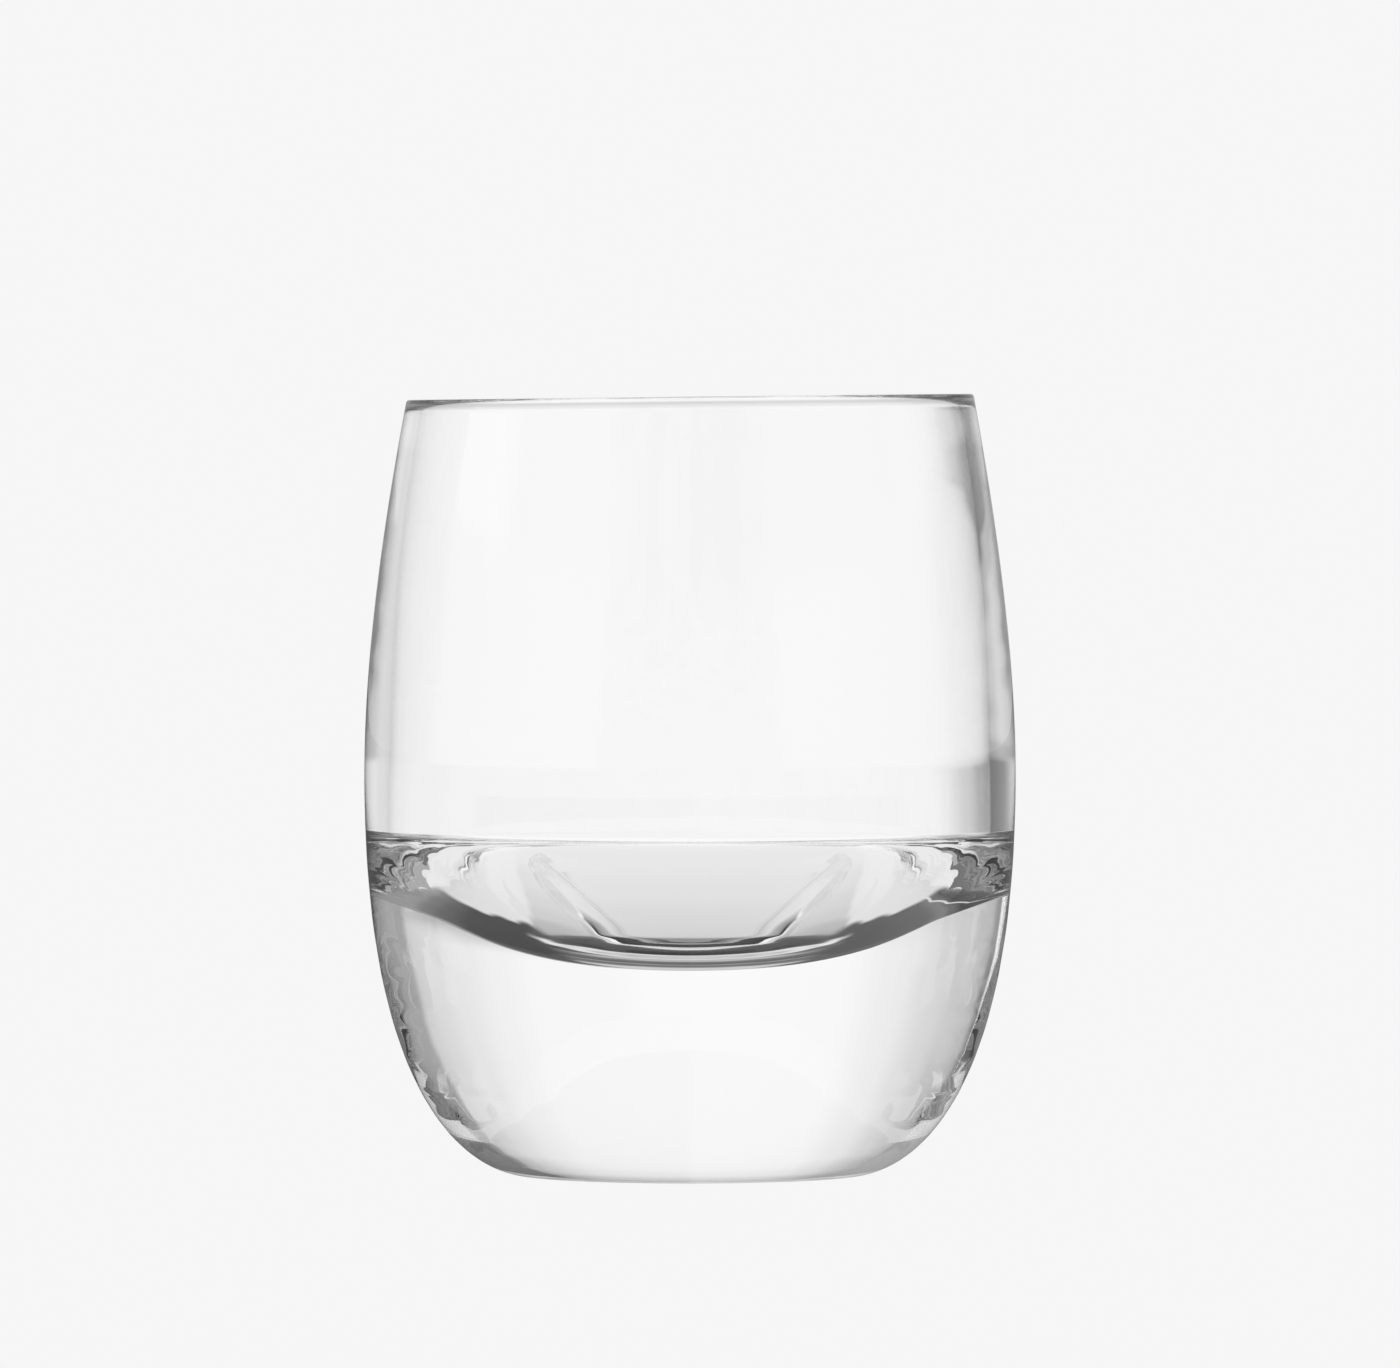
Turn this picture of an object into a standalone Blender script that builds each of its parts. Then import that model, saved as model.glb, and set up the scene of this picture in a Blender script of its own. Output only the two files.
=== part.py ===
"""Whiskey tumbler: one gather of clear glass with a rounded belly, a thick base and a rolled rim.

Units are metres and +Z is up. The origin is the centre of the foot, on the table plane.
"""

import math

import bpy
from mathutils import Vector
from mathutils.geometry import interpolate_bezier

COLLECTION = "whiskey_tumbler"
NODE = "tumbler_glass"
MM = 0.001

# Outer surface.
HEIGHT = 95.0 * MM
FOOT_RADIUS = 20.8 * MM
BELLY_RADIUS = 39.8 * MM
BELLY_HEIGHT = 48.8 * MM
RIM_RADIUS = 34.7 * MM
RIM_LEAN = math.radians(10.5)

# Inner surface: the drinking bowl, with a shallow sloping floor and a near-upright wall.
WALL_AT_RIM = 1.8 * MM
BOWL_RADIUS = 36.75 * MM
BOWL_WIDEST_HEIGHT = 42.0 * MM
BOWL_FLOOR_HEIGHT = 27.6 * MM
SLOPE_RADIUS = 16.7 * MM
SLOPE_HEIGHT = 31.05 * MM
SLOPE_ANGLE = math.radians(27.0)

# Reach of the curve handles, which sets how full each stretch is.
FOOT_REACH = 0.6 * MM
LOWER_BELLY_REACH = 48.1 * MM
UPPER_BELLY_REACH = 14.4 * MM
SHOULDER_REACH = 15.1 * MM
BOWL_UPPER_REACH = 21.0 * MM
BOWL_CORNER_REACH = 0.6 * MM
SLOPE_OUTER_REACH = 18.0 * MM
SLOPE_INNER_REACH = 5.0 * MM
BOWL_FLOOR_REACH = 7.0 * MM

# Rolled lip: a narrow flat land, with a small round outside and a taller, softer one inside.
OUTER_LIP_ROUND = 0.45 * MM
OUTER_LIP_STEPS = 4
INNER_LIP_WIDTH = 0.7 * MM
INNER_LIP_HEIGHT = 1.4 * MM
INNER_LIP_STEPS = 8

TURN_STEPS = 72
STRETCH_STEPS = 9
LOWER_BELLY_STEPS = 16
BOWL_WALL_STEPS = 10
BOWL_SLOPE_STEPS = 14
BOWL_FLOOR_STEPS = 10
SHARP_ANGLE = math.radians(35.0)

GLASS_COLOR = (0.985, 0.99, 0.99, 1.0)
GLASS_IOR = 1.52
GLASS_ROUGHNESS = 0.02


def clear_scene():
    """Remove every object so that only this part is left."""
    for obj in list(bpy.data.objects):
        bpy.data.objects.remove(obj, do_unlink=True)


def point(radius, height):
    """A profile point in the XZ plane at +X."""
    return Vector((radius, 0.0, height))


def stretch(start, start_handle, end_handle, end, steps):
    """One cubic curve between two profile points."""
    return list(interpolate_bezier(start, start_handle, end_handle, end, steps))


def arc(centre, width, height, first_angle, last_angle, steps):
    """Points on part of an ellipse, by angle from +X."""
    points = []
    for step in range(steps):
        share = step / (steps - 1)
        angle = first_angle + share * (last_angle - first_angle)
        points.append(centre + point(width * math.cos(angle), height * math.sin(angle)))
    return points


def lip_profile():
    """The rim from its inner edge, over the flat land, to its outer edge."""
    inner_centre = point(RIM_RADIUS - WALL_AT_RIM + INNER_LIP_WIDTH, HEIGHT - INNER_LIP_HEIGHT)
    outer_centre = point(RIM_RADIUS - OUTER_LIP_ROUND, HEIGHT - OUTER_LIP_ROUND)
    inner_turn = math.atan(INNER_LIP_HEIGHT / INNER_LIP_WIDTH * math.tan(RIM_LEAN))
    upright = 0.5 * math.pi
    inner = arc(
        inner_centre,
        INNER_LIP_WIDTH,
        INNER_LIP_HEIGHT,
        math.pi + inner_turn,
        upright,
        INNER_LIP_STEPS,
    )
    outer = arc(
        outer_centre,
        OUTER_LIP_ROUND,
        OUTER_LIP_ROUND,
        upright,
        RIM_LEAN,
        OUTER_LIP_STEPS,
    )
    return inner + outer


def bowl_profile(lip_edge):
    """The drinking bowl, from the centre of its floor up to the lip."""
    along_wall = Vector((-math.sin(RIM_LEAN), 0.0, math.cos(RIM_LEAN)))
    along_slope = Vector((math.cos(SLOPE_ANGLE), 0.0, math.sin(SLOPE_ANGLE)))
    bottom = point(0.0, BOWL_FLOOR_HEIGHT)
    middle = point(SLOPE_RADIUS, SLOPE_HEIGHT)
    widest = point(BOWL_RADIUS, BOWL_WIDEST_HEIGHT)
    floor = stretch(
        bottom,
        bottom + point(BOWL_FLOOR_REACH, 0.0),
        middle - SLOPE_INNER_REACH * along_slope,
        middle,
        BOWL_FLOOR_STEPS,
    )
    slope = stretch(
        middle,
        middle + SLOPE_OUTER_REACH * along_slope,
        widest - point(0.0, BOWL_CORNER_REACH),
        widest,
        BOWL_SLOPE_STEPS,
    )
    wall = stretch(
        widest,
        widest + point(0.0, BOWL_UPPER_REACH),
        lip_edge - SHOULDER_REACH * along_wall,
        lip_edge,
        BOWL_WALL_STEPS,
    )
    return floor + slope[1:] + wall[1:]


def outside_profile(lip_edge):
    """The outer wall, from the lip over the belly to the centre of the foot."""
    along_wall = Vector((-math.sin(RIM_LEAN), 0.0, math.cos(RIM_LEAN)))
    belly = point(BELLY_RADIUS, BELLY_HEIGHT)
    foot = point(FOOT_RADIUS, 0.0)
    upper = stretch(
        lip_edge,
        lip_edge - SHOULDER_REACH * along_wall,
        belly + point(0.0, UPPER_BELLY_REACH),
        belly,
        STRETCH_STEPS,
    )
    lower = stretch(
        belly,
        belly - point(0.0, LOWER_BELLY_REACH),
        foot + point(FOOT_REACH, 0.0),
        foot,
        LOWER_BELLY_STEPS,
    )
    return upper + lower[1:] + [point(0.0, 0.0)]


def tumbler_profile():
    """The whole section, from the bowl floor over the lip and down the outer side to the foot."""
    lip = lip_profile()
    return bowl_profile(lip[0])[:-1] + lip + outside_profile(lip[-1])[1:]


def turned_mesh(name, profile):
    """Turn a profile about +Z with a Screw modifier."""
    mesh = bpy.data.meshes.new(name)
    edges = [(index, index + 1) for index in range(len(profile) - 1)]
    mesh.from_pydata([tuple(vertex) for vertex in profile], edges, [])
    obj = bpy.data.objects.new(name, mesh)
    screw = obj.modifiers.new("turn", "SCREW")
    screw.axis = "Z"
    screw.angle = math.tau
    screw.steps = TURN_STEPS
    screw.render_steps = TURN_STEPS
    screw.use_merge_vertices = True
    screw.merge_threshold = 0.00001
    screw.use_smooth_shade = True
    return obj


def clear_glass():
    """Colourless polished glass."""
    material = bpy.data.materials.new("clear_glass")
    material.use_nodes = True
    shader = material.node_tree.nodes["Principled BSDF"]
    shader.inputs["Base Color"].default_value = GLASS_COLOR
    shader.inputs["Roughness"].default_value = GLASS_ROUGHNESS
    shader.inputs["IOR"].default_value = GLASS_IOR
    shader.inputs["Transmission Weight"].default_value = 1.0
    return material


def bake(obj):
    """Turn the modified shape into plain faces, smooth except at real edges."""
    graph = bpy.context.evaluated_depsgraph_get()
    mesh = bpy.data.meshes.new_from_object(obj.evaluated_get(graph))
    obj.modifiers.clear()
    obj.data = mesh
    mesh.name = obj.name
    mesh.shade_smooth()
    mesh.set_sharp_from_angle(angle=SHARP_ANGLE)


def build():
    """Build the tumbler in its own collection."""
    clear_scene()
    collection = bpy.data.collections.new(COLLECTION)
    bpy.context.scene.collection.children.link(collection)
    glass = turned_mesh(NODE, tumbler_profile())
    collection.objects.link(glass)
    bpy.context.view_layer.update()
    bake(glass)
    glass.data.materials.append(clear_glass())


build()
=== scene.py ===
"""Looks of the whiskey tumbler: clear glass on a pale seamless floor, in soft studio light.

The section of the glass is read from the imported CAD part, smoothed and turned finely. The floor and
the backdrop are plain and pale to the camera. Rays that have met the glass find an uneven studio
instead: a bright backdrop, dimmer sides, and the shadow and the bright spot that the thick base
casts on the table. Its brightness is set by direction, by place and by the number of glass surfaces
a ray has met, and it turns with the camera about +Z.

Lengths are metres, except in the stops and values marked as millimetres. Headings are degrees from
straight behind the glass, positive to the right, and "aside" is a heading without its sign. A rise
is degrees above the horizon. Brightness 1 is full white. Stops are (place, brightness) pairs.
"""

import math

import bpy
import numpy as np
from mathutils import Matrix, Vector


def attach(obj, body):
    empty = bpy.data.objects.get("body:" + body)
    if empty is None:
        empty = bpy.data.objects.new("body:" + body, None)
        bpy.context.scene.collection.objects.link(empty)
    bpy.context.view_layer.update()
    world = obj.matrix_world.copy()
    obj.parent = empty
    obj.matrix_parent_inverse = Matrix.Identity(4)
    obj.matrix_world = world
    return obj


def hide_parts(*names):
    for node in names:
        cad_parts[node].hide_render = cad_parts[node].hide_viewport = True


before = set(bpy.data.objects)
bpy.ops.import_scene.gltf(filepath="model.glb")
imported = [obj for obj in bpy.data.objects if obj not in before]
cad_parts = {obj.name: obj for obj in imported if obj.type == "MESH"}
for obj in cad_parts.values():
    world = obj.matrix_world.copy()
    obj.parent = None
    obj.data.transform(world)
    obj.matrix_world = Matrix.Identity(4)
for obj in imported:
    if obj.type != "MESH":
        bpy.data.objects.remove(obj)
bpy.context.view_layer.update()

MM = 0.001
NODE = "tumbler_glass"

# Camera: far away, level with the rim, looking a little down.
CAMERA_DISTANCE = 1700 * MM
CAMERA_SIDE = 1.22 * MM
CAMERA_HEIGHT = 94.0 * MM
AIM_HEIGHT = 59.93 * MM
VIEW_WIDTH = 171.07 * MM
SENSOR_WIDTH = 36.0
CLIP_END = 100.0

# Glass surface. The rim of a blown glass is cut slightly out of level.
TURN_STEPS = 384
FINE_STEP = 0.35 * MM
SHARP_ANGLE = math.radians(40.0)
SECTION_DEPTH = 0.001 * MM
SECTION_DIGITS = 6
GLASS_IOR = 1.52
BOUNCES = 32
RIM_TILT = 0.011
TILT_START = 60.0 * MM
TILT_REACH = 35.0 * MM

# Guards against dividing by zero.
NO_BEND = 1e-12
SMALLEST_LEVEL = 0.001

# Floor and backdrop, as the camera sees them.
PALE = 0.9216
FLOOR_RADIUS = 6.0
FLOOR_GAP = 0.05 * MM
FLOOR_SIDES = 128

# Glass surfaces a ray has met, by what it shows.
GLANCE = 1.0
THROUGH_BASE = 2.0
THROUGH_WALL = 3.0
THROUGH_BOWL = 4.0
FEW_SURFACES = 4.5
SOME_SURFACES = 6.5
MANY_SURFACES = 10.5
COUNT_MARGIN = 0.5

# Mirror glances off the outside, below and above the horizon.
LOW_GLANCE_STOPS = [
    (-180.0, 0.45),
    (-62.0, 0.50),
    (-45.0, 0.40),
    (-28.0, 0.20),
    (-12.0, 0.12),
    (12.0, 0.22),
    (28.0, 0.24),
    (45.0, 0.30),
    (62.0, 0.50),
    (180.0, 0.45),
]
HIGH_GLANCE_STOPS = [
    (-180.0, 0.45),
    (-62.0, 0.60),
    (-45.0, 0.50),
    (-28.0, 0.42),
    (-12.0, 0.36),
    (12.0, 0.50),
    (28.0, 0.48),
    (45.0, 0.50),
    (62.0, 0.60),
    (180.0, 0.45),
]
# Painted contact shade: the floor mirrored in the glass is darkened close to the foot, more on the left.
CONTACT_SHADE_START, CONTACT_SHADE_END = 60.0 * MM, 250.0 * MM
CONTACT_SHADE_LEFT, CONTACT_SHADE_RIGHT = 0.25, 0.6

# Half width of the soft change from left to right, on the floor and by heading.
MIDDLE_HALF_WIDTH = 1.0 * MM
MIDDLE_HALF_ANGLE = 1.0

# The floor behind the bowl, the horizon, and the floor behind the edge of the wall, by heading.
LOW_STOPS = [
    (-180.0, 0.45),
    (-90.0, 0.40),
    (-60.0, 0.50),
    (-42.0, 0.62),
    (-30.0, 0.78),
    (-20.0, 1.0),
    (20.0, 1.0),
    (28.0, 0.80),
    (37.0, 0.50),
    (44.0, 0.35),
    (90.0, 0.35),
    (180.0, 0.45),
]
HORIZON_STOPS = [
    (-180.0, 0.45),
    (-90.0, 0.40),
    (-60.0, 0.50),
    (-42.0, 0.62),
    (-30.0, 0.78),
    (-20.0, 1.0),
    (7.0, 1.0),
    (12.0, 0.65),
    (18.0, 0.30),
    (24.0, 0.10),
    (36.0, 0.05),
    (50.0, 0.10),
    (90.0, 0.35),
    (180.0, 0.45),
]
HORIZON_START, HORIZON_FULL = 2000.0 * MM, 6000.0 * MM
WALL_STOPS = [
    (-180.0, 0.45),
    (-60.0, 0.50),
    (-42.0, 0.65),
    (-30.0, 0.76),
    (-20.0, 0.62),
    (-5.0, 0.50),
    (5.0, 0.55),
    (20.0, 0.72),
    (28.0, 0.75),
    (37.0, 0.55),
    (44.0, 0.35),
    (180.0, 0.45),
]
FAR_FLOOR_START, FAR_FLOOR_END = 1200.0 * MM, 2000.0 * MM
FAR_FLOOR_SIDE = 100.0 * MM
FAR_FLOOR_RIGHT = 0.65

# The studio above the horizon: bright behind, with a strip light on the left and a dark right side.
HIGH_SCALE = 2.0
HIGH_STOPS = [
    (-180.0, 0.15),
    (-110.0, 0.15),
    (-95.0, 0.50),
    (-88.0, 1.0),
    (-77.0, 1.0),
    (-74.0, 0.18),
    (-71.0, 0.20),
    (-66.0, 0.31),
    (-50.0, 0.33),
    (-42.0, 0.37),
    (-30.0, 0.45),
    (-20.0, 0.495),
    (20.0, 0.495),
    (28.0, 0.47),
    (36.0, 0.43),
    (45.0, 0.39),
    (52.0, 0.36),
    (56.0, 0.21),
    (80.0, 0.20),
    (100.0, 0.05),
    (180.0, 0.05),
]
HIGH_START, HIGH_FULL = 4.0, 8.0
TOP_START, TOP_FULL, TOP_LIGHT = 40.0, 75.0, 0.55

# Light that comes up through the bowl by way of the foot, by rise and aside.
LOW_FOOT_START, LOW_FOOT_FULL, LOW_FOOT_LIGHT = 36.0, 30.0, 0.7
HIGH_FOOT_RISE = (46.0, 51.0, 66.0, 70.0)
HIGH_FOOT_ASIDE = (35.0, 45.0, 80.0, 90.0)
HIGH_FOOT_LIGHT = 0.5

# The table near the glass, as rays bent by the thick base meet it. Places are millimetres.
TABLE_START, TABLE_END = 500.0 * MM, 1000.0 * MM
CROSSING_START, CROSSING_END = 10.5, 13.0
SHADOW_END, SHADOW_EDGE = 32.5, 35.5
SHADOW_CENTRE = 27.0
SHADOW_HALF_WIDTH = 16.5
SHADOW_HALF_DEPTH = 19.0
SHADOW_STOPS = [
    (0.0, 0.04),
    (0.85, 0.06),
    (0.97, 0.14),
    (1.02, 0.48),
    (1.1, 0.62),
    (1.25, 0.68),
    (1.45, 0.75),
    (1.8, 0.82),
    (3.0, 0.90),
]
SPOT_END, SPOT_EDGE = 46.0, 50.0
SPOT_CENTRE = 41.0
SPOT_HALF_WIDTH = 15.0
SPOT_HALF_DEPTH = 7.5
SPOT_RIPPLES = 5.0
SPOT_RIPPLE_DEPTH = 0.15
SPOT_STOPS = [
    (0.0, 0.62),
    (0.5, 0.55),
    (0.8, 0.78),
    (0.93, 0.70),
    (1.0, 0.25),
    (1.1, 0.10),
    (2.0, 0.10),
]
FAR_SIDE_STOPS = [
    (-90.0, 0.02),
    (-18.0, 0.02),
    (-12.0, 0.10),
    (-5.0, 0.08),
    (4.0, 0.07),
    (9.0, 0.14),
    (14.0, 0.24),
    (90.0, 0.24),
]
FAR_STRIP_START, FAR_STRIP_END = 5.0, 9.0
FAR_STRIP_STOPS = [
    (40.0, 0.50),
    (54.0, 0.48),
    (60.0, 0.15),
    (74.0, 0.10),
    (80.0, 0.30),
    (90.0, 0.12),
    (120.0, 0.20),
    (140.0, 0.60),
    (200.0, 0.60),
]

# The same table for rays that cross sideways, by their sideways angle. The shift, the edges and the
# streak's place are millimetres.
SLANT_SHIFT = 14.0
SLANT_SHIFT_STOPS = [
    (0.0, 0.0),
    (12.0, 0.0),
    (18.0, 0.5),
    (25.0, 0.93),
    (32.0, 1.0),
    (45.0, 0.85),
    (60.0, 0.85),
]
SLANT_CLOSE, SLANT_EDGE = 30.5, 35.0
SLANT_NEAR_LIGHT, SLANT_CLOSE_LIGHT = 0.85, 0.79
SLANT_FAR_STOPS = [
    (-60.0, 0.02),
    (-44.0, 0.02),
    (-39.0, 0.12),
    (-36.0, 0.20),
    (-30.0, 0.13),
    (-12.0, 0.10),
    (12.0, 0.07),
    (26.0, 0.07),
    (32.0, 0.11),
    (40.0, 0.18),
    (46.0, 0.30),
    (60.0, 0.32),
]
STREAK_FROM, STREAK_FULL = -31.0, -34.0
STREAK_START = -121.0
STREAK_PER_DEGREE = -4.7
STREAK_WIDTH, STREAK_CORE = 6.0, 1.5
STREAK_LIGHT = 0.75

# Rays bent down by the rolled lip, told by the height at which they leave the glass. The stops'
# places are millimetres from the axis.
LIP_STOPS = [
    (0.0, 0.55),
    (170.0, 0.60),
    (300.0, 0.68),
    (600.0, 0.85),
    (1200.0, 1.0),
    (1500.0, 1.0),
]
LIP_REACH_END, LIP_REACH_FULL = 1500.0 * MM, 1400.0 * MM
LIP_HEIGHT_START, LIP_HEIGHT_FULL = 70.0 * MM, 80.0 * MM
BACK_WALL_RADIUS = 36.0 * MM

# Rays caught between the surfaces for long. Most stay bright, and some meet painted mottled light, in
# wisps: on the floor beside the glass, and low at the sides of the backdrop.
CAUGHT_LIGHT = 0.97
CAUGHT_FLOOR_LIGHT = 0.85
MOTTLE_DETAIL = 3.0
MOTTLE_DISTORTION = 1.5
MOTTLE_LOW, MOTTLE_HIGH = 0.35, 0.65
FLOOR_MOTTLE_SCALE = 25.0
FLOOR_WISPS = (0.1, 0.6)
FLOOR_DEEP_WISPS = (0.05, 0.4)
BACKDROP_MOTTLE_SCALE = 6.0
BACKDROP_WISPS = (0.15, 0.55)
RIGHT_WISPS = 0.5
BESIDE = (50.0, 60.0, 140.0, 150.0)
LEVEL_RISE_START, LEVEL_RISE_FULL = 20.0, 12.0
LEVEL_SIDE_START, LEVEL_SIDE_FULL = 40.0, 60.0
DEEP_BRIGHT_START, DEEP_BRIGHT_FULL = 36.0, 42.0

# The dark straight overhead, and the dim sides on the camera's side of the glass.
OVERHEAD_START, OVERHEAD_FULL, OVERHEAD_LIGHT = 62.0, 67.0, 0.03
NEAR_SIDE_START, NEAR_SIDE_FULL = 80.0, 88.0
NEAR_RISE_START, NEAR_RISE_FULL = 48.0, 44.0
NEAR_LEFT_LIGHT, NEAR_RIGHT_LIGHT = 0.42, 0.15


def section(node):
    """The CAD section at +X as (radius, height) points, from the foot's edge to the bowl's floor."""
    mesh = node.data
    places = {}
    for vertex in mesh.vertices:
        if abs(vertex.co.y) < SECTION_DEPTH and vertex.co.x > -SECTION_DEPTH:
            radius, height = vertex.co.x, vertex.co.z
            places[vertex.index] = (round(radius, SECTION_DIGITS), round(height, SECTION_DIGITS))
    links = {}
    for edge in mesh.edges:
        if edge.vertices[0] in places and edge.vertices[1] in places:
            first, second = (places[index] for index in edge.vertices)
            if first != second and max(first[1], second[1]) > 0.0:
                links.setdefault(first, []).append(second)
                links.setdefault(second, []).append(first)
    walked = [max(place for place in links if place[1] <= 0.0)]
    while True:
        onward = [place for place in links[walked[-1]] if place not in walked]
        if not onward:
            return np.array(walked)
        walked.append(onward[0])


def tangents(points):
    """Unit tangents at the points. Where a tight bend meets a straight run, the straight run decides."""
    chords = np.diff(points, axis=0)
    lengths = np.linalg.norm(chords, axis=1)
    angles = np.unwrap(np.arctan2(chords[:, 1], chords[:, 0]))
    bends = np.abs(np.diff(angles)) / (lengths[:-1] + lengths[1:])
    bends = np.concatenate([bends[:1], bends, bends[-1:]]) ** 2 + NO_BEND
    weight_before = bends[2:] * lengths[1:]
    weight_after = bends[:-2] * lengths[:-1]
    inner = (weight_before * angles[:-1] + weight_after * angles[1:]) / (weight_before + weight_after)
    ends = 2.0 * angles[0] - inner[0], 2.0 * angles[-1] - inner[-1]
    headings = np.concatenate([ends[:1], inner, ends[1:]])
    return np.stack([np.cos(headings), np.sin(headings)], axis=1)


def smooth_curve(points):
    """A smooth curve through the points, sampled finely along its length."""
    along = tangents(points)
    samples = []
    for i, length in enumerate(np.linalg.norm(np.diff(points, axis=0), axis=1)):
        steps = max(2, int(math.ceil(length / FINE_STEP)))
        for t in np.arange(steps) / steps:
            samples.append(
                (1.0 + 2.0 * t) * (1.0 - t) ** 2 * points[i]
                + t * (1.0 - t) ** 2 * length * along[i]
                + t**2 * (3.0 - 2.0 * t) * points[i + 1]
                - t**2 * (1.0 - t) * length * along[i + 1]
            )
    samples.append(points[-1])
    return np.array(samples)


def turn(name, profile):
    """Turn a section that ends on the axis, closed below by a flat foot."""
    angles = np.arange(TURN_STEPS) * (math.tau / TURN_STEPS)
    rings = profile[:-1]
    vertices = [(0.0, 0.0, 0.0), (0.0, 0.0, float(profile[-1][1]))]
    for radius, height in rings:
        tilt = RIM_TILT * np.clip((height - TILT_START) / TILT_REACH, 0.0, 1.0) ** 2
        for angle in angles:
            x = radius * math.cos(angle)
            vertices.append((x, radius * math.sin(angle), height + tilt * x))
    faces = []
    last = 2 + (len(rings) - 1) * TURN_STEPS
    for k in range(TURN_STEPS):
        n = (k + 1) % TURN_STEPS
        faces.append((0, 2 + n, 2 + k))
        faces.append((1, last + k, last + n))
        for i in range(len(rings) - 1):
            low = 2 + i * TURN_STEPS
            high = low + TURN_STEPS
            faces.append((low + k, low + n, high + n, high + k))
    mesh = bpy.data.meshes.new(name)
    mesh.from_pydata(vertices, [], faces)
    mesh.shade_smooth()
    mesh.set_sharp_from_angle(angle=SHARP_ANGLE)
    piece = bpy.data.objects.new(name, mesh)
    bpy.context.scene.collection.objects.link(piece)
    return piece


class Nodes:
    """Short calls for building a node tree."""

    def __init__(self, tree):
        self.tree = tree
        tree.nodes.clear()

    def add(self, kind, **settings):
        node = self.tree.nodes.new(kind)
        for key, value in settings.items():
            setattr(node, key, value)
        return node

    def feed(self, source, target):
        if isinstance(source, (int, float)):
            target.default_value = source
        else:
            self.tree.links.new(source, target)

    def math(self, operation, a, b=0.0, c=0.0):
        node = self.add("ShaderNodeMath", operation=operation)
        for value, socket in zip((a, b, c), node.inputs):
            self.feed(value, socket)
        return node.outputs[0]

    def blend(self, factor, a, b):
        """a at factor 0 and b at factor 1."""
        node = self.add("ShaderNodeMix", data_type="FLOAT")
        self.feed(factor, node.inputs[0])
        self.feed(a, node.inputs[2])
        self.feed(b, node.inputs[3])
        return node.outputs[0]

    def step(self, value, start, end, low=0.0, high=1.0):
        """A soft step from low at start to high at end."""
        node = self.add("ShaderNodeMapRange", interpolation_type="SMOOTHSTEP")
        self.feed(value, node.inputs["Value"])
        if start > end:
            start, end, low, high = end, start, high, low
        for key, number in (("From Min", start), ("From Max", end), ("To Min", low), ("To Max", high)):
            node.inputs[key].default_value = number
        return node.outputs[0]

    def ramp(self, value, stops, scale=1.0):
        """A soft curve through (place, brightness) stops, brightness 1 giving the scale."""
        low, high = stops[0][0], stops[-1][0]
        share = self.math("DIVIDE", self.math("SUBTRACT", value, low), high - low)
        node = self.add("ShaderNodeValToRGB")
        self.feed(share, node.inputs[0])
        band = node.color_ramp
        band.interpolation = "EASE"
        while len(band.elements) < len(stops):
            band.elements.new(0.5)
        for element, (place, brightness) in zip(band.elements, stops):
            element.position = (place - low) / (high - low)
            element.color = (brightness, brightness, brightness, 1.0)
        return self.math("MULTIPLY", node.outputs[0], scale)

    def noise(self, vector, scale, detail, distortion):
        node = self.add("ShaderNodeTexNoise")
        self.tree.links.new(vector, node.inputs["Vector"])
        node.inputs["Scale"].default_value = scale
        node.inputs["Detail"].default_value = detail
        node.inputs["Distortion"].default_value = distortion
        return node.outputs[0]

    def turned(self, turner):
        """Place or direction in the frame that turns with the camera, with its parts."""
        place = self.add("ShaderNodeTexCoord", object=turner).outputs["Object"]
        split = self.add("ShaderNodeSeparateXYZ")
        self.tree.links.new(place, split.inputs[0])
        return place, split.outputs[0], split.outputs[1], split.outputs[2]

    def bend(self):
        """Slope down and sideways angle, in degrees, of the ray that has reached the floor."""
        incoming = self.add("ShaderNodeNewGeometry").outputs["Incoming"]
        to_camera = self.add("ShaderNodeVectorTransform", vector_type="VECTOR",
                             convert_from="WORLD", convert_to="CAMERA")
        self.tree.links.new(incoming, to_camera.inputs[0])
        world, seen = self.add("ShaderNodeSeparateXYZ"), self.add("ShaderNodeSeparateXYZ")
        self.tree.links.new(incoming, world.inputs[0])
        self.tree.links.new(to_camera.outputs[0], seen.inputs[0])
        across = self.math("MULTIPLY", seen.outputs[0], -1.0)
        level = self.math("SQRT", self.math("SUBTRACT", 1.0, self.math("POWER", world.outputs[2], 2.0)))
        along = self.math("SUBTRACT", self.math("POWER", level, 2.0), self.math("POWER", across, 2.0))
        along = self.math("SQRT", self.math("MAXIMUM", along, 0.0))
        slope = self.math("DIVIDE", world.outputs[2], self.math("MAXIMUM", level, SMALLEST_LEVEL))
        return slope, self.degrees(self.math("ARCTAN2", across, along))

    def length(self, x, y):
        squares = self.math("ADD", self.math("MULTIPLY", x, x), self.math("MULTIPLY", y, y))
        return self.math("SQRT", squares)

    def is_count(self, depth, count):
        """1 where the ray has met exactly this many surfaces."""
        return self.math("COMPARE", depth, count, COUNT_MARGIN)

    def band(self, value, start, full, full_end, end):
        """1 between full and full_end, with soft edges out to start and end."""
        return self.math("MULTIPLY", self.step(value, start, full), self.step(value, end, full_end))

    def painted_mottle(self, place, scale, low, high):
        """Painted mottled light between two brightnesses, for the floor's and the backdrop's glow."""
        noise = self.noise(place, scale, MOTTLE_DETAIL, MOTTLE_DISTORTION)
        return self.step(noise, MOTTLE_LOW, MOTTLE_HIGH, low, high)

    def heading(self, x, y):
        """Direction from straight behind, in degrees."""
        return self.degrees(self.math("ARCTAN2", x, y))

    def degrees(self, radians):
        return self.math("MULTIPLY", radians, 180.0 / math.pi)


def round_light(nodes, x, y, stops, scale=1.0):
    """Brightness of the studio by direction round the glass."""
    return nodes.ramp(nodes.heading(x, y), stops, scale)


def shadow_light(nodes, x, y):
    """The shadow of the thick base, a dark oval behind the foot with a soft outer side."""
    across = nodes.math("DIVIDE", x, SHADOW_HALF_WIDTH)
    before = nodes.math("MINIMUM", nodes.math("SUBTRACT", y, SHADOW_CENTRE), 0.0)
    past = nodes.math("DIVIDE", before, SHADOW_HALF_DEPTH)
    return nodes.ramp(nodes.length(across, past), SHADOW_STOPS)


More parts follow.
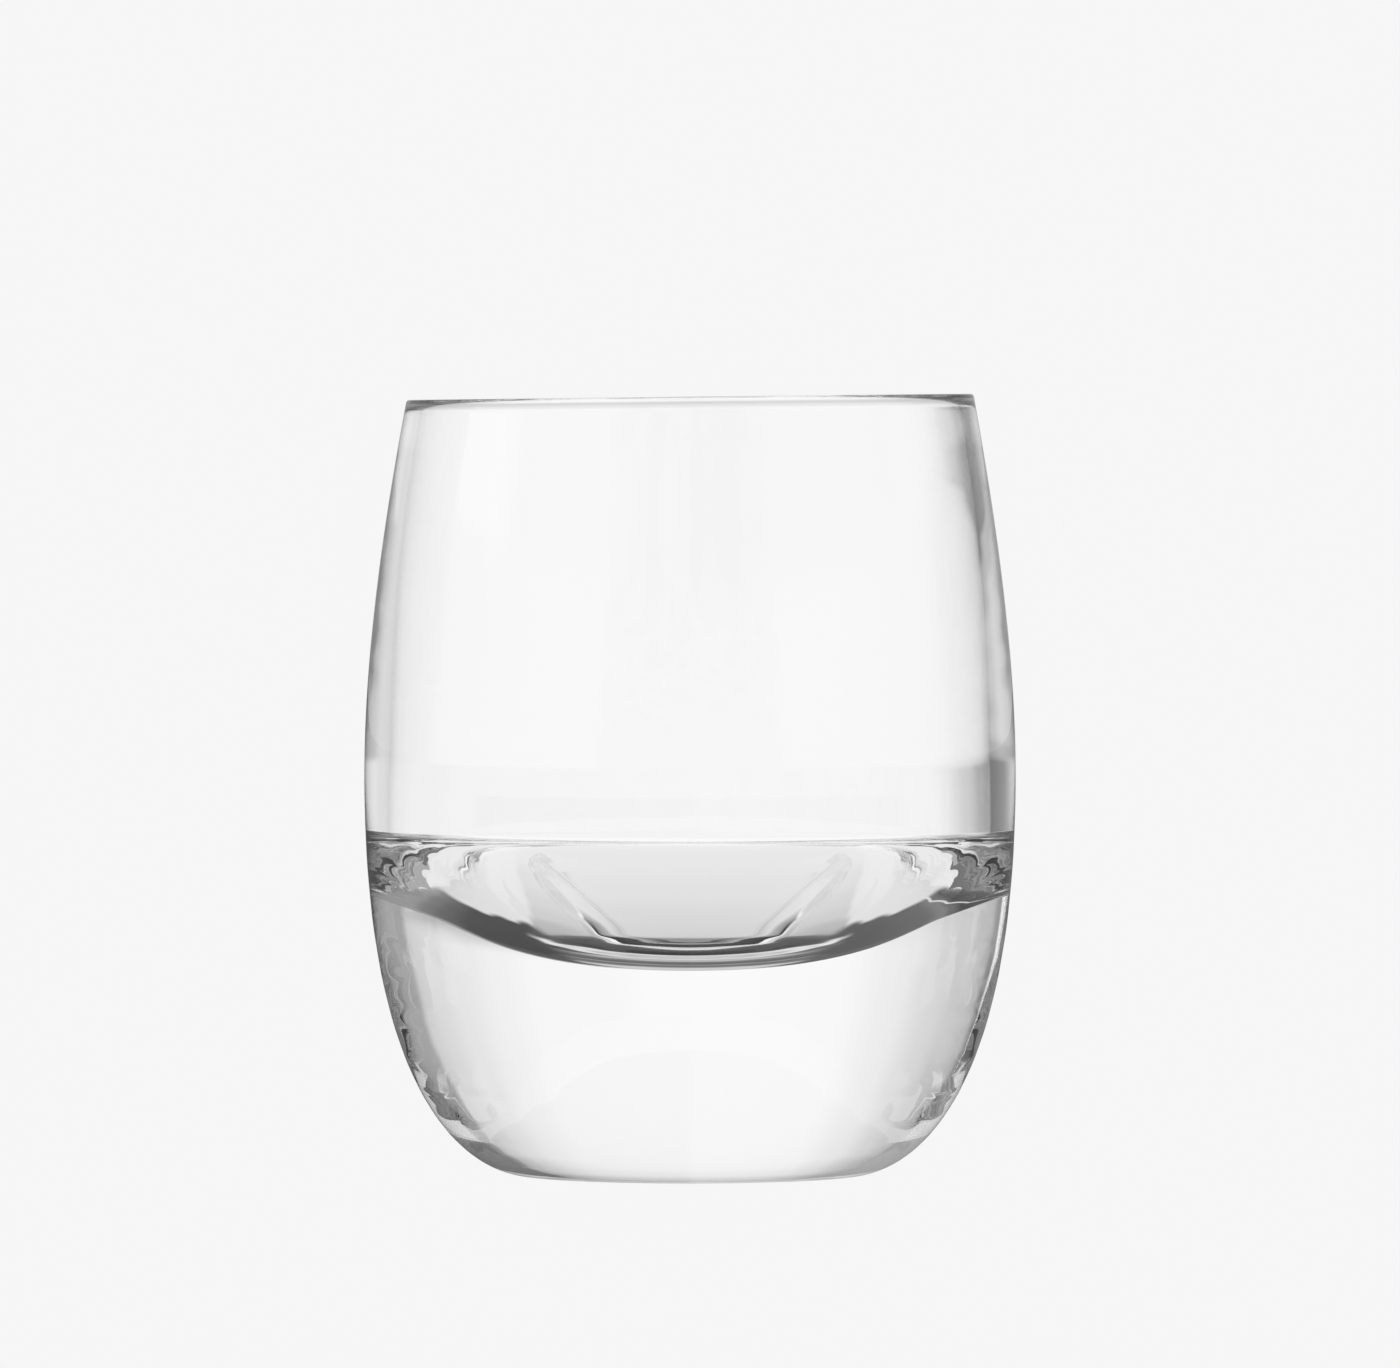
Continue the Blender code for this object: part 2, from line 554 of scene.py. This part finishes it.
def spot_light(nodes, x, y):
    """The bright spot where the base gathers light behind the shadow, with fine caustic lines."""
    across = nodes.math("DIVIDE", x, SPOT_HALF_WIDTH)
    past = nodes.math("DIVIDE", nodes.math("SUBTRACT", y, SPOT_CENTRE), SPOT_HALF_DEPTH)
    off = nodes.length(across, past)
    spot = nodes.ramp(off, SPOT_STOPS)
    ripple = nodes.math("SINE", nodes.math("MULTIPLY", off, math.tau * SPOT_RIPPLES))
    return nodes.math("MULTIPLY", spot, nodes.math("MULTIPLY_ADD", ripple, SPOT_RIPPLE_DEPTH, 1.0))


def far_table_light(nodes, x, y):
    """The table beyond the spot: dim, darkest on the left, with a light strip straight behind."""
    heading = nodes.heading(x, y)
    sides = nodes.ramp(heading, FAR_SIDE_STOPS)
    strip = nodes.ramp(nodes.length(x, y), FAR_STRIP_STOPS)
    aside = nodes.math("ABSOLUTE", heading)
    return nodes.blend(nodes.step(aside, FAR_STRIP_START, FAR_STRIP_END), strip, sides)


def straight_light(nodes, x, y):
    """The table as nearly straight rays meet it: the shadow, then the spot, then the dim table."""
    behind = nodes.blend(nodes.step(y, SPOT_END, SPOT_EDGE), spot_light(nodes, x, y),
                         far_table_light(nodes, x, y))
    return nodes.blend(nodes.step(y, SHADOW_END, SHADOW_EDGE), shadow_light(nodes, x, y), behind)


def slanting_light(nodes, y, slant):
    """The table as rays crossing sideways meet it: light up close, then dim with a light streak."""
    aside = nodes.math("ABSOLUTE", slant)
    shift = nodes.ramp(aside, SLANT_SHIFT_STOPS, SLANT_SHIFT)
    close = nodes.math("SUBTRACT", y, shift)
    dim = nodes.ramp(slant, SLANT_FAR_STOPS)
    streak_place = nodes.math("MULTIPLY_ADD", slant, STREAK_PER_DEGREE, STREAK_START)
    off_streak = nodes.math("ABSOLUTE", nodes.math("SUBTRACT", y, streak_place))
    streak = nodes.math("MULTIPLY", nodes.step(off_streak, STREAK_WIDTH, STREAK_CORE),
                        nodes.step(slant, STREAK_FROM, STREAK_FULL))
    dim = nodes.blend(streak, dim, STREAK_LIGHT)
    near = nodes.step(close, 0.0, SLANT_CLOSE, SLANT_NEAR_LIGHT, SLANT_CLOSE_LIGHT)
    return nodes.blend(nodes.step(close, SLANT_CLOSE, SLANT_EDGE), near, dim)


def table_light(nodes, x, y, slant):
    """The table as light bent by the thick base meets it."""
    x = nodes.math("DIVIDE", x, MM)
    y = nodes.math("DIVIDE", y, MM)
    crossing = nodes.step(nodes.math("ABSOLUTE", slant), CROSSING_START, CROSSING_END)
    return nodes.blend(crossing, straight_light(nodes, x, y), slanting_light(nodes, y, slant))


def floor_glance(nodes, x, y, reach):
    """The floor mirrored in the outside of the glass, with painted contact shade darkening it close to
    the foot.
    """
    # Painted contact shade near the foot, deeper on the left.
    right = nodes.step(x, -MIDDLE_HALF_WIDTH, MIDDLE_HALF_WIDTH)
    contact_shade = nodes.blend(right, CONTACT_SHADE_LEFT, CONTACT_SHADE_RIGHT)
    dimming = nodes.blend(nodes.step(reach, CONTACT_SHADE_START, CONTACT_SHADE_END), contact_shade, 1.0)
    return nodes.math("MULTIPLY", round_light(nodes, x, y, LOW_GLANCE_STOPS), dimming)


def toward_horizon(nodes, x, y, reach, near):
    """The floor's light up close, turning into the horizon's far off."""
    far = round_light(nodes, x, y, HORIZON_STOPS)
    return nodes.blend(nodes.step(reach, HORIZON_START, HORIZON_FULL), near, far)


def floor_through_wall(nodes, x, y, reach):
    """The far floor seen through the edge of the wall, darker far off on the right."""
    far_right = nodes.math("MULTIPLY", nodes.step(reach, FAR_FLOOR_START, FAR_FLOOR_END),
                           nodes.step(x, 0.0, FAR_FLOOR_SIDE))
    dimming = nodes.blend(far_right, 1.0, FAR_FLOOR_RIGHT)
    near = nodes.math("MULTIPLY", round_light(nodes, x, y, WALL_STOPS), dimming)
    return toward_horizon(nodes, x, y, reach, near)


def below_lip(nodes, reach, slope):
    """1 for rays that leave the glass as high as the lip, and meet the floor within the lip's reach."""
    height = nodes.math("MULTIPLY", nodes.math("SUBTRACT", reach, BACK_WALL_RADIUS), slope)
    high = nodes.step(height, LIP_HEIGHT_START, LIP_HEIGHT_FULL)
    return nodes.math("MULTIPLY", high, nodes.step(reach, LIP_REACH_END, LIP_REACH_FULL))


def by_surfaces(nodes, depth, plain, few, some, many):
    """Pick the light by how many glass surfaces the ray has met."""
    picked = nodes.blend(nodes.math("GREATER_THAN", depth, FEW_SURFACES), plain, few)
    picked = nodes.blend(nodes.math("GREATER_THAN", depth, SOME_SURFACES), picked, some)
    return nodes.blend(nodes.math("GREATER_THAN", depth, MANY_SURFACES), picked, many)


def plain_floor_light(nodes, x, y, depth):
    """The floor for rays that have met up to four surfaces."""
    reach = nodes.length(x, y)
    slope, slant = nodes.bend()
    at_edge = nodes.is_count(depth, THROUGH_WALL)
    light = toward_horizon(nodes, x, y, reach, round_light(nodes, x, y, LOW_STOPS))
    light = nodes.blend(nodes.is_count(depth, GLANCE), light, floor_glance(nodes, x, y, reach))
    light = nodes.blend(at_edge, light, floor_through_wall(nodes, x, y, reach))
    at_table = nodes.math("MULTIPLY", nodes.step(reach, TABLE_END, TABLE_START), at_edge)
    light = nodes.blend(at_table, light, table_light(nodes, x, y, slant))
    at_lip = nodes.math("MULTIPLY", below_lip(nodes, reach, slope), nodes.is_count(depth, THROUGH_BOWL))
    return nodes.blend(at_lip, light, nodes.ramp(nodes.math("DIVIDE", reach, MM), LIP_STOPS))


def floor_light(nodes, turner, depth):
    """The floor as rays from the glass meet it."""
    place, x, y = nodes.turned(turner)[:3]
    beside = nodes.band(nodes.math("ABSOLUTE", nodes.heading(x, y)), *BESIDE)
    # Painted mottled light on the floor, for rays caught in the glass.
    wisps = nodes.painted_mottle(place, FLOOR_MOTTLE_SCALE, *FLOOR_WISPS)
    some = nodes.blend(beside, wisps, CAUGHT_FLOOR_LIGHT)
    many = nodes.painted_mottle(place, FLOOR_MOTTLE_SCALE, *FLOOR_DEEP_WISPS)
    plain = plain_floor_light(nodes, x, y, depth)
    return by_surfaces(nodes, depth, plain, CAUGHT_FLOOR_LIGHT, some, many)


def make_floor(turner):
    """A pale floor. Light that comes through the glass finds the shadow and the spot on it."""
    bpy.ops.mesh.primitive_circle_add(vertices=FLOOR_SIDES, radius=FLOOR_RADIUS, fill_type="NGON",
                                      location=(0.0, 0.0, -FLOOR_GAP))
    floor = bpy.context.object
    floor.name = "floor"
    material = bpy.data.materials.new("pale_floor")
    material.use_nodes = True
    nodes = Nodes(material.node_tree)
    path = nodes.add("ShaderNodeLightPath")
    seen = floor_light(nodes, turner, path.outputs["Ray Depth"])
    light = nodes.add("ShaderNodeEmission")
    nodes.feed(nodes.blend(path.outputs["Is Camera Ray"], seen, PALE), light.inputs["Color"])
    out = nodes.add("ShaderNodeOutputMaterial")
    nodes.feed(light.outputs[0], out.inputs[0])
    floor.data.materials.append(material)


def high_light(nodes, x, y, rise, depth):
    """The studio above the horizon. Only the clear base shows the full strip light."""
    high = nodes.math("MULTIPLY", round_light(nodes, x, y, HIGH_STOPS, HIGH_SCALE),
                      nodes.step(rise, TOP_START, TOP_FULL, 1.0, TOP_LIGHT))
    high = nodes.blend(nodes.is_count(depth, THROUGH_BASE), nodes.math("MINIMUM", high, 1.0), high)
    by_foot = nodes.math("MULTIPLY", nodes.is_count(depth, THROUGH_BOWL),
                         nodes.step(rise, LOW_FOOT_START, LOW_FOOT_FULL))
    return nodes.math("MULTIPLY", high, nodes.blend(by_foot, 1.0, LOW_FOOT_LIGHT))


def plain_backdrop_light(nodes, x, y, rise, depth):
    """The backdrop for rays that have met up to four surfaces."""
    low = round_light(nodes, x, y, HORIZON_STOPS)
    high = high_light(nodes, x, y, rise, depth)
    light = nodes.blend(nodes.step(rise, HIGH_START, HIGH_FULL), low, high)
    return nodes.blend(nodes.is_count(depth, GLANCE), light, round_light(nodes, x, y, HIGH_GLANCE_STOPS))


def caught_few_light(nodes, aside, right, rise):
    """Bright, but for the dark straight overhead and the dim sides towards the camera."""
    overhead = nodes.step(rise, OVERHEAD_START, OVERHEAD_FULL)
    near = nodes.math("MULTIPLY", nodes.step(aside, NEAR_SIDE_START, NEAR_SIDE_FULL),
                      nodes.step(rise, NEAR_RISE_START, NEAR_RISE_FULL))
    near_light = nodes.blend(right, NEAR_LEFT_LIGHT, NEAR_RIGHT_LIGHT)
    return nodes.blend(near, nodes.blend(overhead, CAUGHT_LIGHT, OVERHEAD_LIGHT), near_light)


def caught_some_light(nodes, aside, rise, wisps):
    """Wisps at the sides near the horizon, and bright elsewhere but for light by way of the foot."""
    level = nodes.math("MULTIPLY", nodes.step(rise, LEVEL_RISE_START, LEVEL_RISE_FULL),
                       nodes.step(aside, LEVEL_SIDE_START, LEVEL_SIDE_FULL))
    by_foot = nodes.math("MULTIPLY", nodes.band(rise, *HIGH_FOOT_RISE),
                         nodes.band(aside, *HIGH_FOOT_ASIDE))
    return nodes.blend(level, nodes.blend(by_foot, CAUGHT_LIGHT, HIGH_FOOT_LIGHT), wisps)


def backdrop_light(nodes, turner, depth):
    """The studio round and above the table as rays from the glass meet it."""
    way, x, y, z = nodes.turned(turner)
    rise = nodes.degrees(nodes.math("ARCSINE", z))
    heading = nodes.heading(x, y)
    aside = nodes.math("ABSOLUTE", heading)
    right = nodes.step(heading, -MIDDLE_HALF_ANGLE, MIDDLE_HALF_ANGLE)
    # Painted mottled light low at the sides of the backdrop, darker on the right.
    wisps = nodes.math("MULTIPLY", nodes.painted_mottle(way, BACKDROP_MOTTLE_SCALE, *BACKDROP_WISPS),
                       nodes.blend(right, 1.0, RIGHT_WISPS))
    plain = plain_backdrop_light(nodes, x, y, rise, depth)
    few = caught_few_light(nodes, aside, right, rise)
    some = caught_some_light(nodes, aside, rise, wisps)
    many = nodes.blend(nodes.step(rise, DEEP_BRIGHT_START, DEEP_BRIGHT_FULL), wisps, CAUGHT_LIGHT)
    return by_surfaces(nodes, depth, plain, few, some, many)


def make_backdrop(turner):
    """A pale seamless backdrop, with the uneven studio for light through the glass."""
    world = bpy.data.worlds.new("studio")
    bpy.context.scene.world = world
    world.use_nodes = True
    nodes = Nodes(world.node_tree)
    path = nodes.add("ShaderNodeLightPath")
    depth = nodes.math("SUBTRACT", path.outputs["Ray Depth"], 1.0)
    seen = backdrop_light(nodes, turner, depth)
    light = nodes.add("ShaderNodeBackground")
    nodes.feed(nodes.blend(path.outputs["Is Camera Ray"], seen, PALE), light.inputs["Color"])
    out = nodes.add("ShaderNodeOutputWorld")
    nodes.feed(light.outputs[0], out.inputs[0])


def clear_glass():
    """Colourless, fire-polished glass."""
    material = bpy.data.materials.new("clear_glass")
    material.use_nodes = True
    shader = material.node_tree.nodes["Principled BSDF"]
    shader.inputs["Base Color"].default_value = (1.0, 1.0, 1.0, 1.0)
    shader.inputs["Roughness"].default_value = 0.0
    shader.inputs["IOR"].default_value = GLASS_IOR
    shader.inputs["Transmission Weight"].default_value = 1.0
    return material


def make_camera():
    """A long lens, level with the rim."""
    data = bpy.data.cameras.new("camera")
    data.sensor_width = SENSOR_WIDTH
    data.lens = SENSOR_WIDTH * CAMERA_DISTANCE / VIEW_WIDTH
    data.clip_end = CLIP_END
    camera = bpy.data.objects.new("camera", data)
    bpy.context.scene.collection.objects.link(camera)
    camera.location = (CAMERA_SIDE, -CAMERA_DISTANCE, CAMERA_HEIGHT)
    aim = Vector((CAMERA_SIDE, 0.0, AIM_HEIGHT))
    camera.rotation_euler = (aim - camera.location).to_track_quat("-Z", "Y").to_euler()
    bpy.context.scene.camera = camera
    return camera


def make_turner(camera):
    """An empty at the origin that turns about +Z with the camera."""
    turner = bpy.data.objects.new("studio_turn", None)
    bpy.context.scene.collection.objects.link(turner)
    follow = turner.constraints.new("COPY_ROTATION")
    follow.target = camera
    follow.use_x = False
    follow.use_y = False
    return turner


def set_render():
    """Enough bounces for light that is caught inside the thick base."""
    scene = bpy.context.scene
    scene.view_settings.view_transform = "Standard"
    scene.cycles.max_bounces = BOUNCES
    scene.cycles.transmission_bounces = BOUNCES
    scene.cycles.glossy_bounces = BOUNCES


half = section(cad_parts[NODE])
glass = turn("tumbler_glass_fine", smooth_curve(half))
glass.data.materials.append(clear_glass())
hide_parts(NODE)
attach(glass, "root")

turner = make_turner(make_camera())
make_floor(turner)
make_backdrop(turner)
set_render()
